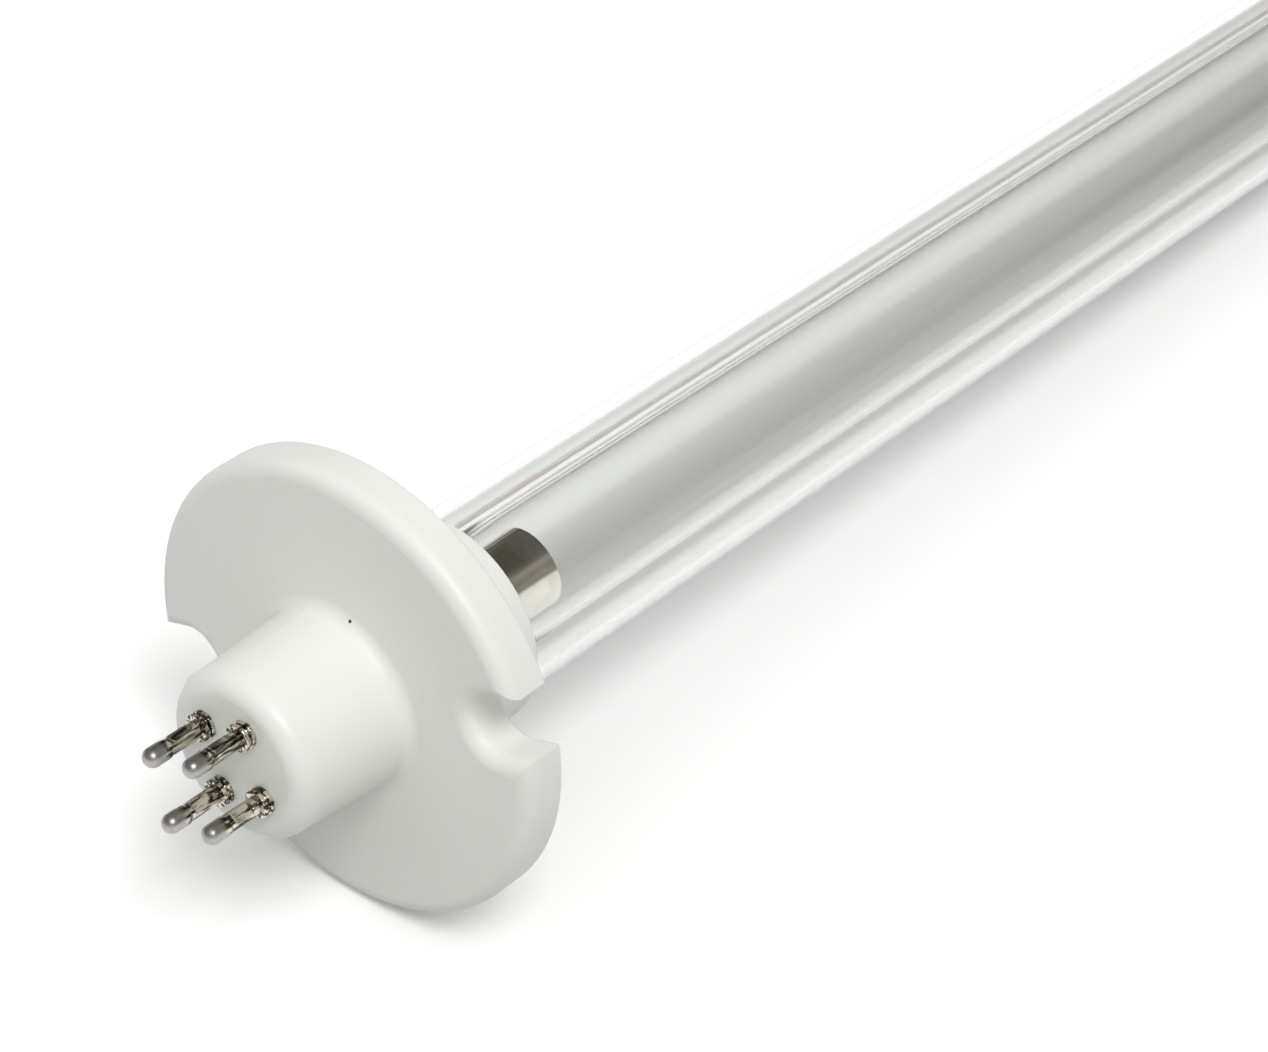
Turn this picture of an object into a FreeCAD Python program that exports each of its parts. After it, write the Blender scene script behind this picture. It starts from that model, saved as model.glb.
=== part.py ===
"""Germicidal discharge lamp with one base: a clear arc tube inside a clear sleeve.

Every piece is drawn in the lamp's own frame: X runs along the lamp from the front face of
the flange (x = 0) to the far end, Y runs through the two notches of the flange. Then the
whole lamp is laid on the floor, on the rim of its flange and the far end of its sleeve.
"""
import FreeCAD, Part
import math
import os

import Sketcher
from FreeCAD import Placement, Rotation, Vector

SHEET = "Sizes"
OVERCUT = 1.0
# How far each pin's crimp is turned about the pin, in degrees.
CRIMP_TURNS = (10.0, 14.0, 55.0, 48.0)

# Driving dimensions in millimetres, angles in degrees. The return leads' share is the part of
# the gap between the arc tube and the sleeve that lies inside the wires' centres.
SIZES = {
    "flange_diameter": 55.0,
    "flange_thickness": 5.5,
    "flange_front_round": 1.8,
    "flange_back_round": 0.4,
    "notch_width": 7.2,
    "notch_floor_diameter": 39.8,
    "boss_length": 15.3,
    "boss_front_diameter": 19.8,
    "boss_root_diameter": 21.6,
    "boss_edge_round": 2.2,
    "boss_root_fillet": 1.5,
    "boss_end_wall": 2.5,
    "boss_cavity_diameter": 16.8,
    "collar_diameter": 25.4,
    "collar_length": 13.0,
    "collar_root_fillet": 1.0,
    "collar_edge_round": 0.3,
    "sleeve_diameter": 23.0,
    "sleeve_wall": 1.5,
    "sleeve_fit_clearance": 0.1,
    "sleeve_engagement": 17.5,
    "sleeve_end_room": 4.5,
    "pin_diameter": 2.3,
    "pin_shank_diameter": 1.94,
    "pin_reach": 8.7,
    "pin_short_spacing": 6.35,
    "pin_long_spacing": 7.92,
    "pin_tail_diameter": 1.9,
    "pin_tail_length": 3.3,
    "pin_collar_diameter": 3.3,
    "pin_collar_width": 0.5,
    "pin_collar_gap": 0.3,
    "pin_neck_diameter": 2.6,
    "pin_crimp_depth": 0.4,
    "pin_crimp_length": 3.9,
    "pin_crimp_slope": 0.8,
    "pin_head_length": 1.9,
    "arc_tube_diameter": 15.0,
    "arc_tube_wall": 1.0,
    "arc_tube_length": 287.0,
    "arc_tube_setback": 2.5,
    "press_length": 7.5,
    "press_width": 12.4,
    "press_thickness": 3.8,
    "press_shoulder": 6.5,
    "seal_depth": 9.0,
    "cone_length": 6.0,
    "lead_spacing": 5.2,
    "lead_diameter": 0.4,
    "lead_depth": 1.5,
    "foil_length": 4.5,
    "foil_width": 2.0,
    "foil_thickness": 0.2,
    "post_diameter": 0.6,
    "post_reach": 15.8,
    "post_hook_clearance": 0.02,
    "coil_diameter": 1.4,
    "coil_wire_diameter": 0.4,
    "coil_pitch": 0.8,
    "shield_diameter": 10.0,
    "shield_wall": 0.3,
    "shield_length": 9.6,
    "shield_reach": 20.6,
    "shield_stay_diameter": 0.7,
    "shield_stay_rise": 3.0,
    "shield_stay_overlap": 4.0,
    "disc_width": 4.5,
    "disc_setback": 1.5,
    "disc_clearance": 0.1,
    "return_lead_share": 0.34,
    "return_lead_angle_one": 52.0,
    "return_lead_angle_two": 66.0,
    "return_lead_turn": 3.0,
    "lead_bend_radius": 2.0,
    "lead_straight": 2.4,
    "lead_settle": 1.0,
    "lead_hole_clearance": 0.1,
    "bead_diameter": 1.4,
    "bead_setback": 28.5,
    "rest_roll": -17.9,
}


class Size:
    """A length that carries its value and the sheet expression that it comes from."""

    def __init__(self, value, text):
        self.value = value
        self.text = text

    def __add__(self, other):
        other = as_size(other)
        return Size(self.value + other.value, f"({self.text} + {other.text})")

    def __sub__(self, other):
        other = as_size(other)
        return Size(self.value - other.value, f"({self.text} - {other.text})")

    def __rsub__(self, other):
        return as_size(other) - self

    def __mul__(self, factor):
        factor = as_size(factor)
        return Size(self.value * factor.value, f"({self.text} * {factor.text})")

    def __truediv__(self, divisor):
        return Size(self.value / divisor, f"({self.text} / {divisor})")

    def __neg__(self):
        return Size(-self.value, f"(0 - {self.text})")


ZERO = Size(0.0, "0")


def as_size(thing):
    """Give a plain number as a size."""
    return thing if isinstance(thing, Size) else Size(float(thing), str(float(thing)))


doc = FreeCAD.newDocument("lamp")
sheet = doc.addObject("Spreadsheet::Sheet", SHEET)
for row, (alias, number) in enumerate(SIZES.items(), start=1):
    sheet.set(f"A{row}", alias.replace("_", " "))
    sheet.set(f"B{row}", str(number))
    sheet.setAlias(f"B{row}", alias)
doc.recompute()


def size(alias):
    """Read one driving dimension from the sheet."""
    return Size(float(getattr(sheet, alias)), f"{SHEET}.{alias}")


# Derived places along the lamp and radii about its axis.
flange_radius = size("flange_diameter") / 2
boss_front = -size("boss_length")
cavity_end = boss_front + size("boss_end_wall")
cavity_radius = size("boss_cavity_diameter") / 2
collar_radius = size("collar_diameter") / 2
collar_end = size("flange_thickness") + size("collar_length")
sleeve_radius = size("sleeve_diameter") / 2
sleeve_bore_radius = sleeve_radius - size("sleeve_wall")
sleeve_start = collar_end - size("sleeve_engagement")
pin_radius = size("pin_diameter") / 2
arc_radius = size("arc_tube_diameter") / 2
arc_bore_radius = arc_radius - size("arc_tube_wall")
arc_start = sleeve_start + size("arc_tube_setback")
arc_end = arc_start + size("arc_tube_length")
sleeve_dome_start = arc_end + size("sleeve_end_room")
near_disc_start = arc_start + size("disc_setback")
far_disc_start = arc_end - size("disc_setback") - size("disc_width")
lead_half_spacing = size("lead_spacing") / 2
lead_radius = size("lead_diameter") / 2
return_lead_radius = arc_radius + (sleeve_bore_radius - arc_radius) * size("return_lead_share")
post_radius = size("post_diameter") / 2
shield_radius = size("shield_diameter") / 2


def new_body(label):
    """Start a piece of its own."""
    body = doc.addObject("PartDesign::Body", label)
    body.Label = label
    return body


def new_sketch(body, name, role, offset=ZERO):
    """Put a sketch on one of the body's origin planes, moved along that plane's normal."""
    sketch = body.newObject("Sketcher::SketchObject", name)
    plane = next(item for item in body.Origin.OriginFeatures if item.Role == role)
    sketch.AttachmentSupport = (plane, [""])
    sketch.MapMode = "FlatFace"
    sketch.AttachmentOffset = Placement(Vector(0, 0, offset.value), Rotation())
    sketch.setExpression("AttachmentOffset.Base.z", offset.text)
    return sketch


def tie(sketch, kind, places, length):
    """Add one dimension to a sketch and bind it to the sheet."""
    index = sketch.addConstraint(Sketcher.Constraint(kind, *places, length.value))
    sketch.setExpression(f"Constraints[{index}]", length.text)


def tie_across(sketch, geometry, position, length):
    """Hold the X coordinate of a point of the sketch."""
    if length.text == ZERO.text:
        sketch.addConstraint(Sketcher.Constraint("PointOnObject", geometry, position, -2))
    else:
        tie(sketch, "DistanceX", (-1, 1, geometry, position), length)


def tie_up(sketch, geometry, position, length):
    """Hold the Y coordinate of a point of the sketch."""
    if length.text == ZERO.text:
        sketch.addConstraint(Sketcher.Constraint("PointOnObject", geometry, position, -1))
    else:
        tie(sketch, "DistanceY", (-1, 1, geometry, position), length)


def tie_point(sketch, geometry, position, point):
    """Hold a point of the sketch at its coordinates."""
    tie_across(sketch, geometry, position, point[0])
    tie_up(sketch, geometry, position, point[1])


def draw_outline(sketch, corners, arcs=None):
    """Draw a closed outline; arcs gives the centre and radius of each side that is round."""
    arcs = arcs or {}
    points = [Vector(x.value, y.value, 0) for x, y in corners]
    sides = []
    for number, start in enumerate(points):
        end = points[(number + 1) % len(points)]
        if number not in arcs:
            sides.append((sketch.addGeometry(Part.LineSegment(start, end), False), 1, 2))
            continue
        centre, radius = arcs[number]
        middle = Vector(centre[0].value, centre[1].value, 0)
        first = math.atan2(start.y - middle.y, start.x - middle.x)
        last = math.atan2(end.y - middle.y, end.x - middle.x)
        turn = (last - first) % (2 * math.pi)
        circle = Part.Circle(middle, Vector(0, 0, 1), radius.value)
        if turn <= math.pi:
            arc = Part.ArcOfCircle(circle, first, first + turn)
            sides.append((sketch.addGeometry(arc, False), 1, 2))
        else:
            arc = Part.ArcOfCircle(circle, last, last + 2 * math.pi - turn)
            sides.append((sketch.addGeometry(arc, False), 2, 1))
    for number, (geometry, begin, finish) in enumerate(sides):
        follower, follower_begin, _ = sides[(number + 1) % len(sides)]
        joint = Sketcher.Constraint("Coincident", geometry, finish, follower, follower_begin)
        sketch.addConstraint(joint)
    for number, (geometry, begin, _) in enumerate(sides):
        tie_point(sketch, geometry, begin, corners[number])
    for number, (centre, _) in arcs.items():
        tie_across(sketch, sides[number][0], 3, centre[0])


def draw_circle(sketch, centre, radius):
    """Draw a circle at a named place."""
    circle = Part.Circle(Vector(centre[0].value, centre[1].value, 0), Vector(0, 0, 1), radius.value)
    geometry = sketch.addGeometry(circle, False)
    tie_point(sketch, geometry, 3, centre)
    tie(sketch, "Radius", (geometry,), radius)


def draw_oval(sketch, half_width, half_height):
    """Draw a slot-shaped oval, wide along the sketch's X, centred on its origin."""
    shift = half_width - half_height
    corners = [
        (-shift, -half_height),
        (shift, -half_height),
        (shift, half_height),
        (-shift, half_height),
    ]
    arcs = {1: ((shift, ZERO), half_height), 3: ((-shift, ZERO), half_height)}
    draw_outline(sketch, corners, arcs)


def revolve(body, name, corners, arcs=None):
    """Turn an outline of (place along the axis, radius) about the lamp's axis."""
    sketch = new_sketch(body, f"{name}_profile", "XZ_Plane")
    draw_outline(sketch, corners, arcs)
    turned = body.newObject("PartDesign::Revolution", name)
    turned.Profile = sketch
    turned.ReferenceAxis = (sketch, ["H_Axis"])
    turned.Angle = 360.0
    doc.recompute()
    return turned


def groove(body, name, corners):
    """Turn an outline out of the body."""
    before = body.Shape.Volume
    sketch = new_sketch(body, f"{name}_profile", "XZ_Plane")
    draw_outline(sketch, corners)
    cut = body.newObject("PartDesign::Groove", name)
    cut.Profile = sketch
    cut.ReferenceAxis = (sketch, ["H_Axis"])
    cut.Angle = 360.0
    doc.recompute()
    expect_less(body, name, before)


def pocket(body, name, start, length, draw):
    """Cut a drawn outline out of the body, from start along the lamp for length."""
    before = body.Shape.Volume
    sketch = new_sketch(body, f"{name}_outline", "YZ_Plane", start)
    draw(sketch)
    cut = body.newObject("PartDesign::Pocket", name)
    cut.Profile = sketch
    cut.Type = "Length"
    cut.Reversed = True
    cut.setExpression("Length", length.text)
    doc.recompute()
    expect_less(body, name, before)


def expect_less(body, name, before):
    """Stop if a cut took nothing away."""
    if not body.Shape.Volume < before:
        raise RuntimeError(f"{name} cut nothing")


def fillet(body, name, radius, wanted):
    """Round the edges of the body that the test picks."""
    base = body.Tip
    picked = [f"Edge{n}" for n, edge in enumerate(base.Shape.Edges, start=1) if wanted(edge)]
    if not picked:
        raise RuntimeError(f"{name} found no edge")
    rounding = body.newObject("PartDesign::Fillet", name)
    rounding.Base = (base, picked)
    rounding.setExpression("Radius", radius.text)
    doc.recompute()


def ring_at(place, radius=None):
    """Pick the edges that lie in the plane x = place, of one radius or of any."""

    def wanted(edge):
        box = edge.BoundBox
        if abs(box.XMin - place.value) > 1e-4 or abs(box.XMax - place.value) > 1e-4:
            return False
        if radius is None:
            return True
        return all(abs(math.hypot(v.Y, v.Z) - radius.value) < 1e-3 for v in edge.Vertexes)

    return wanted


def build_base():
    """Make the white moulding: plug boss, notched flange and socket collar."""
    body = new_body("base")
    boss_front_radius = size("boss_front_diameter") / 2
    boss_root_radius = size("boss_root_diameter") / 2
    socket_radius = sleeve_radius + size("sleeve_fit_clearance")
    flange_back = size("flange_thickness")
    revolve(body, "moulding", [
        (boss_front, ZERO),
        (boss_front, boss_front_radius),
        (ZERO, boss_root_radius),
        (ZERO, flange_radius),
        (flange_back, flange_radius),
        (flange_back, collar_radius),
        (collar_end, collar_radius),
        (collar_end, socket_radius),
        (sleeve_start, socket_radius),
        (sleeve_start, cavity_radius),
        (cavity_end, cavity_radius),
        (cavity_end, ZERO),
    ])
    fillet(body, "boss_edge", size("boss_edge_round"), ring_at(boss_front, boss_front_radius))
    fillet(body, "boss_root", size("boss_root_fillet"), ring_at(ZERO, boss_root_radius))
    fillet(body, "collar_root", size("collar_root_fillet"), ring_at(flange_back, collar_radius))
    fillet(body, "collar_edge", size("collar_edge_round"), ring_at(collar_end, collar_radius))

    notch_half = size("notch_width") / 2
    notch_centre = size("notch_floor_diameter") / 2 + notch_half
    outside = flange_radius + OVERCUT

    def draw_notches(sketch):
        for side in (1, -1):
            inner, outer, half = notch_centre * side, outside * side, notch_half * side
            corners = [(outer, -half), (outer, half), (inner, half), (inner, -half)]
            draw_outline(sketch, corners, {2: ((inner, ZERO), notch_half)})

    pocket(body, "notches", ZERO, flange_back, draw_notches)

    def front_rim(edge):
        far_out = all(math.hypot(v.Y, v.Z) > collar_radius.value for v in edge.Vertexes)
        return ring_at(ZERO)(edge) and far_out

    def back_rim(edge):
        far_out = all(math.hypot(v.Y, v.Z) > collar_radius.value * 1.2 for v in edge.Vertexes)
        return ring_at(flange_back)(edge) and far_out

    fillet(body, "flange_front", size("flange_front_round"), front_rim)
    fillet(body, "flange_back", size("flange_back_round"), back_rim)

    def draw_pin_holes(sketch):
        for y, z in pin_places():
            draw_circle(sketch, (y, z), size("pin_tail_diameter") / 2)

    pocket(body, "pin_holes", boss_front, size("boss_end_wall"), draw_pin_holes)
    return body


def pin_places():
    """Give the four pins, the two of the return leads first, then the two of the near coil."""
    half_short = size("pin_short_spacing") / 2
    half_long = size("pin_long_spacing") / 2
    return [
        (half_short, half_long),
        (-half_short, half_long),
        (half_short, -half_long),
        (-half_short, -half_long),
    ]


def build_pin(number, crimp_turn):
    """Make one contact pin with its two collars, its crimp and its tail in the boss wall."""
    body = new_body(f"contact_pin_{number}")
    collar = size("pin_collar_diameter") / 2
    ring_width = size("pin_collar_width")
    neck = size("pin_neck_diameter") / 2
    first_ring = -ring_width
    second_ring = first_ring - size("pin_collar_gap")
    shank_start = second_ring - ring_width
    tip = -size("pin_reach")
    head_end = tip + pin_radius + size("pin_head_length")
    shank_radius = size("pin_shank_diameter") / 2
    tail = size("pin_tail_length")
    tail_radius = size("pin_tail_diameter") / 2
    revolve(body, "turning", [
        (tail, ZERO),
        (tail, tail_radius),
        (ZERO, tail_radius),
        (ZERO, collar),
        (first_ring, collar),
        (first_ring, neck),
        (second_ring, neck),
        (second_ring, collar),
        (shank_start, collar),
        (shank_start, shank_radius),
        (head_end, shank_radius),
        (head_end, pin_radius),
        (tip + pin_radius, pin_radius),
        (tip, ZERO),
    ], {12: ((tip + pin_radius, ZERO), pin_radius)})

    crimp_back = head_end + size("pin_crimp_length")
    floor = pin_radius - size("pin_crimp_depth")
    slope = size("pin_crimp_slope")
    above = pin_radius + size("pin_crimp_depth")
    before = body.Shape.Volume
    sketch = new_sketch(body, "crimp_profile", "XZ_Plane")
    draw_outline(sketch, [
        (head_end, above),
        (head_end + slope, floor),
        (crimp_back - slope, floor),
        (crimp_back, above),
    ])
    crimp = body.newObject("PartDesign::Pocket", "crimp")
    crimp.Profile = sketch
    crimp.Type = "Length"
    crimp.Midplane = True
    crimp.setExpression("Length", (pin_radius * 4).text)
    doc.recompute()
    expect_less(body, "crimp", before)

    y, z = pin_places()[number - 1]
    turned = Rotation(Vector(1, 0, 0), crimp_turn)
    return body, Placement(Vector(boss_front.value, y.value, z.value), turned)


def build_sleeve():
    """Make the outer glass: an open tube at the base, a round dome at the far end."""
    body = new_body("outer_sleeve")
    centre = (sleeve_dome_start, ZERO)
    revolve(body, "blown_tube", [
        (sleeve_start, sleeve_bore_radius),
        (sleeve_start, sleeve_radius),
        (sleeve_dome_start, sleeve_radius),
        (sleeve_dome_start + sleeve_radius, ZERO),
        (sleeve_dome_start + sleeve_bore_radius, ZERO),
        (sleeve_dome_start, sleeve_bore_radius),
    ], {2: (centre, sleeve_radius), 4: (centre, sleeve_bore_radius)})
    return body


def loft_press(body, name, end, inward):
    """Press one end of the arc tube flat: a flat seal, then a shoulder out to the round tube."""
    seal_end = end + size("press_length") * inward
    shoulder_end = seal_end + size("press_shoulder") * inward
    flat = new_sketch(body, f"{name}_seal_outline", "YZ_Plane", end)
    draw_oval(flat, size("press_width") / 2, size("press_thickness") / 2)
    seal = body.newObject("PartDesign::Pad", f"{name}_seal")
    seal.Profile = flat
    seal.Type = "Length"
    seal.Reversed = inward < 0
    seal.setExpression("Length", size("press_length").text)
    doc.recompute()
    inner = new_sketch(body, f"{name}_shoulder_flat", "YZ_Plane", seal_end)
    draw_oval(inner, size("press_width") / 2, size("press_thickness") / 2)
    outer = new_sketch(body, f"{name}_shoulder_round", "YZ_Plane", shoulder_end)
    draw_circle(outer, (ZERO, ZERO), arc_radius)
    shoulder = body.newObject("PartDesign::AdditiveLoft", f"{name}_shoulder")
    shoulder.Profile = inner
    shoulder.Sections = [outer]
    doc.recompute()


def drill_press(body, name, end, inward):
    """Open the three steps in one seal that hold the outer lead, the foil and the post."""
    lead_depth = size("lead_depth")
    foil_length = size("foil_length")
    post_hole = size("seal_depth") + size("cone_length") - lead_depth - foil_length

    def draw_holes(radius):
        def draw(sketch):
            for side in (1, -1):
                draw_circle(sketch, (lead_half_spacing * side, ZERO), radius)
        return draw

    def draw_slots(sketch):
        half_foil = size("foil_width") / 2
        half_thick = size("foil_thickness") / 2
        for side in (1, -1):
            near, far = lead_half_spacing * side - half_foil, lead_half_spacing * side + half_foil
            corners = [(near, -half_thick), (far, -half_thick), (far, half_thick), (near, half_thick)]
            draw_outline(sketch, corners)

    steps = [
        ("lead_holes", lead_depth, draw_holes(lead_radius)),
        ("foil_slots", foil_length, draw_slots),
        ("post_holes", post_hole, draw_holes(post_radius)),
    ]
    foot = end + (lead_depth + foil_length) * inward
    stay_hole = size("seal_depth") - lead_depth - foil_length + OVERCUT

    def draw_stay_hole(sketch):
        draw_circle(sketch, (ZERO, ZERO), size("shield_stay_diameter") / 2)

    stay_start = foot if inward > 0 else foot - stay_hole
    pocket(body, f"{name}_stay_hole", stay_start, stay_hole, draw_stay_hole)
    reached = end
    for step, length, draw in steps:
        start = reached if inward > 0 else reached - length
        pocket(body, f"{name}_{step}", start, length, draw)
        reached = reached + length * inward


def build_arc_tube():
    """Make the inner glass: a round tube pressed flat and sealed at both ends."""
    body = new_body("arc_tube")
    shoulder = size("press_length") + size("press_shoulder")
    revolve(body, "drawn_tube", [
        (arc_start + shoulder, ZERO),
        (arc_start + shoulder, arc_radius),
        (arc_end - shoulder, arc_radius),
        (arc_end - shoulder, ZERO),
    ])
    loft_press(body, "near", arc_start, 1)
    loft_press(body, "far", arc_end, -1)
    hollow_start = arc_start + size("seal_depth")
    hollow_end = arc_end - size("seal_depth")
    groove(body, "hollow", [
        (hollow_start, ZERO),
        (hollow_start + size("cone_length"), arc_bore_radius),
        (hollow_end - size("cone_length"), arc_bore_radius),
        (hollow_end, ZERO),
    ])
    drill_press(body, "near", arc_start, 1)
    drill_press(body, "far", arc_end, -1)
    return body


def build_disc(label, start):
    """Make a ceramic disc that centres one press in the sleeve and lets the return leads by."""
    body = new_body(label)
    clearance = size("disc_clearance")
    disc_radius = sleeve_bore_radius - clearance
    width = size("disc_width")
    revolve(body, "disc", [
        (start, ZERO),
        (start, disc_radius),
        (start + width, disc_radius),
        (start + width, ZERO),
    ])

    def draw_press_slot(sketch):
        draw_oval(sketch, size("press_width") / 2 + clearance, size("press_thickness") / 2 + clearance)

    pocket(body, "press_slot", start, width, draw_press_slot)
    before = body.Shape.Volume
    hole = new_sketch(body, "lead_holes_outline", "YZ_Plane", start)
    radius = lead_radius + size("lead_hole_clearance")
    for place in return_lead_places():
        circle = Part.Circle(Vector(place.y, place.z, 0), Vector(0, 0, 1), radius.value)
        tie(hole, "Radius", (hole.addGeometry(circle, False),), radius)
    cut = body.newObject("PartDesign::Pocket", "lead_holes")
    cut.Profile = hole
    cut.Type = "Length"
    cut.Reversed = True
    cut.setExpression("Length", width.text)
    doc.recompute()
    expect_less(body, "lead_holes", before)
    return body


def return_lead_places():
    """Give the place of each return lead beside the arc tube, seen along the lamp."""
    places = []
    for alias in ("return_lead_angle_one", "return_lead_angle_two"):
        angle = math.radians(size(alias).value)
        reach = return_lead_radius.value
        places.append(Vector(0, reach * math.cos(angle), reach * math.sin(angle)))
    return places


def rounded_path(points, bend):
    """Join points by straight runs, with an arc of one radius at each corner."""
    edges = []
    start = points[0]
    for before, corner, after in zip(points, points[1:], points[2:]):
        back = (before - corner).normalize()
        ahead = (after - corner).normalize()
        half_angle = back.getAngle(ahead) / 2
        reach = bend / math.tan(half_angle)
        entry = corner + back * reach
        leave = corner + ahead * reach
        inward = (back + ahead).normalize()
        middle = corner + inward * (bend / math.sin(half_angle) - bend)
        edges.append(Part.LineSegment(start, entry).toShape())
        edges.append(Part.Arc(entry, middle, leave).toShape())
        start = leave
    edges.append(Part.LineSegment(start, points[-1]).toShape())
    return Part.Wire(edges)


def wire_along(label, points, radius, bend):
    """Make a round wire along a path with rounded corners."""
    path = rounded_path(points, bend)
    heading = points[1] - points[0]
    profile = Part.Wire(Part.Circle(points[0], heading, radius).toShape())
    feature = doc.addObject("Part::Feature", label)
    feature.Label = label
    feature.Shape = path.makePipeShell([profile], True, False)
    return feature


def at(place, x):
    """Move a place seen along the lamp to its station along the lamp."""
    return Vector(x, place.y, place.z)


def build_return_lead(number):
    """Make the wire from a pin, along the arc tube and round into the far seal."""
    y, z = pin_places()[number - 1]
    pin = Vector(0, y.value, z.value)
    beside = return_lead_places()[number - 1]
    seal = Vector(0, lead_half_spacing.value * (1 if number == 1 else -1), 0)
    tail_end = boss_front.value + size("pin_tail_length").value
    straight = size("lead_straight").value
    turn = arc_end.value + size("return_lead_turn").value
    points = [
        at(pin, tail_end),
        at(pin, tail_end + straight),
        at(beside, near_disc_start.value - size("lead_settle").value),
        at(beside, turn),
        at(seal, turn),
        at(seal, arc_end.value - size("lead_depth").value),
    ]
    return wire_along(f"return_lead_{number}", points, lead_radius.value, lead_bend(points))


def build_near_lead(number):
    """Make the short wire from a pin to the near seal."""
    y, z = pin_places()[number + 1]
    pin = Vector(0, y.value, z.value)
    seal = Vector(0, lead_half_spacing.value * (1 if number == 1 else -1), 0)
    tail_end = boss_front.value + size("pin_tail_length").value
    straight = size("lead_straight").value
    points = [
        at(pin, tail_end),
        at(pin, tail_end + straight),
        at(seal, arc_start.value - straight),
        at(seal, arc_start.value + size("lead_depth").value),
    ]
    return wire_along(f"near_lead_{number}", points, lead_radius.value, lead_bend(points))


def lead_bend(points):
    """Give the bend radius, kept small enough for the runs beside each corner."""
    limit = size("lead_bend_radius").value
    for before, corner, after in zip(points, points[1:], points[2:]):
        half_angle = (before - corner).getAngle(after - corner) / 2
        shorter = min((before - corner).Length, (after - corner).Length)
        limit = min(limit, 0.45 * shorter * math.tan(half_angle))
    return limit


def build_foil(label, end, inward, side):
    """Make one foil ribbon of a seal."""
    foil = doc.addObject("Part::Box", label)
    foil.Label = label
    foil.setExpression("Length", size("foil_length").text)
    foil.setExpression("Width", size("foil_width").text)
    foil.setExpression("Height", size("foil_thickness").text)
    start = end + size("lead_depth") * inward
    if inward < 0:
        start = start - size("foil_length")
    corner = Vector(
        start.value,
        lead_half_spacing.value * side - size("foil_width").value / 2,
        -size("foil_thickness").value / 2,
    )
    return foil, Placement(corner, Rotation())


def build_post(label, end, inward, side):
    """Make one post that stands from a foil into the tube and carries an end of the coil."""
    post = doc.addObject("Part::Cylinder", label)
    post.Label = label
    post.setExpression("Radius", post_radius.text)
    post.setExpression("Height", size("post_reach").text)
    foot = end + (size("lead_depth") + size("foil_length")) * inward
    aim = Rotation(Vector(0, 0, 1), Vector(inward, 0, 0))
    return post, Placement(Vector(foot.value, lead_half_spacing.value * side, 0), aim)


def post_tip(end, inward):
    """Give the station of a post's free end."""
    reach = size("lead_depth") + size("foil_length") + size("post_reach")
    return end + reach * inward


def build_coil(label, end, inward):
    """Make the coiled cathode: a helix across the lamp between its two posts."""
    wire = size("coil_wire_diameter").value / 2
    radius = size("coil_diameter").value / 2 - wire
    pitch = size("coil_pitch").value
    gap = post_radius.value + size("post_hook_clearance").value
    length = 2 * (lead_half_spacing.value - gap - wire)
    station = post_tip(end, inward).value - post_radius.value * inward
    helix = Part.makeHelix(pitch, length, radius)
    heading = Vector(0, radius, pitch / (2 * math.pi))
    profile = Part.Wire(Part.Circle(Vector(radius, 0, 0), heading, wire).toShape())
    feature = doc.addObject("Part::Feature", label)
    feature.Label = label
    feature.Shape = helix.makePipeShell([profile], True, True)
    aim = Rotation(Vector(0, 0, 1), Vector(0, 1, 0))
    return feature, Placement(Vector(station, -length / 2, 0), aim)


def shield_station():
    """Give how far the open edge of a shield ring lies from the end of the arc tube."""
    return size("lead_depth") + size("foil_length") + size("shield_reach")


def build_shield(label, end, inward):
    """Make the metal ring that stands round a cathode."""
    body = new_body(label)
    far_edge = end + shield_station() * inward
    near_edge = far_edge - size("shield_length") * inward
    inner = shield_radius - size("shield_wall")
    revolve(body, "band", [
        (near_edge, inner),
        (near_edge, shield_radius),
        (far_edge, shield_radius),
        (far_edge, inner),
    ])
    return body


def build_stay(label, end, inward):
    """Make the stiff wire that carries a shield ring, its foot in the glass of the seal."""
    radius = size("shield_stay_diameter").value / 2
    inner = shield_radius.value - size("shield_wall").value
    lift = Vector(0, 0, inner - radius - size("post_hook_clearance").value)
    foot = end + (size("lead_depth") + size("foil_length")) * inward
    band_start = end + (shield_station() - size("shield_length")) * inward
    overlap = size("shield_stay_overlap").value * inward
    rise = size("shield_stay_rise").value * inward
    points = [
        at(Vector(), foot.value),
        at(Vector(), band_start.value - rise),
        at(lift, band_start.value),
        at(lift, band_start.value + overlap),
    ]
    return wire_along(label, points, radius, lead_bend(points))


def build_bead():
    """Make the bead of mercury that lies in the arc tube."""
    bead = doc.addObject("Part::Sphere", "mercury_bead")
    bead.Label = "mercury_bead"
    bead.setExpression("Radius", (size("bead_diameter") / 2).text)
    drop = arc_bore_radius.value - size("bead_diameter").value / 2
    down = math.radians(-90.0 - size("rest_roll").value)
    station = arc_end - size("bead_setback")
    place = Vector(station.value, drop * math.cos(down), drop * math.sin(down))
    return bead, Placement(place, Rotation())


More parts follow.
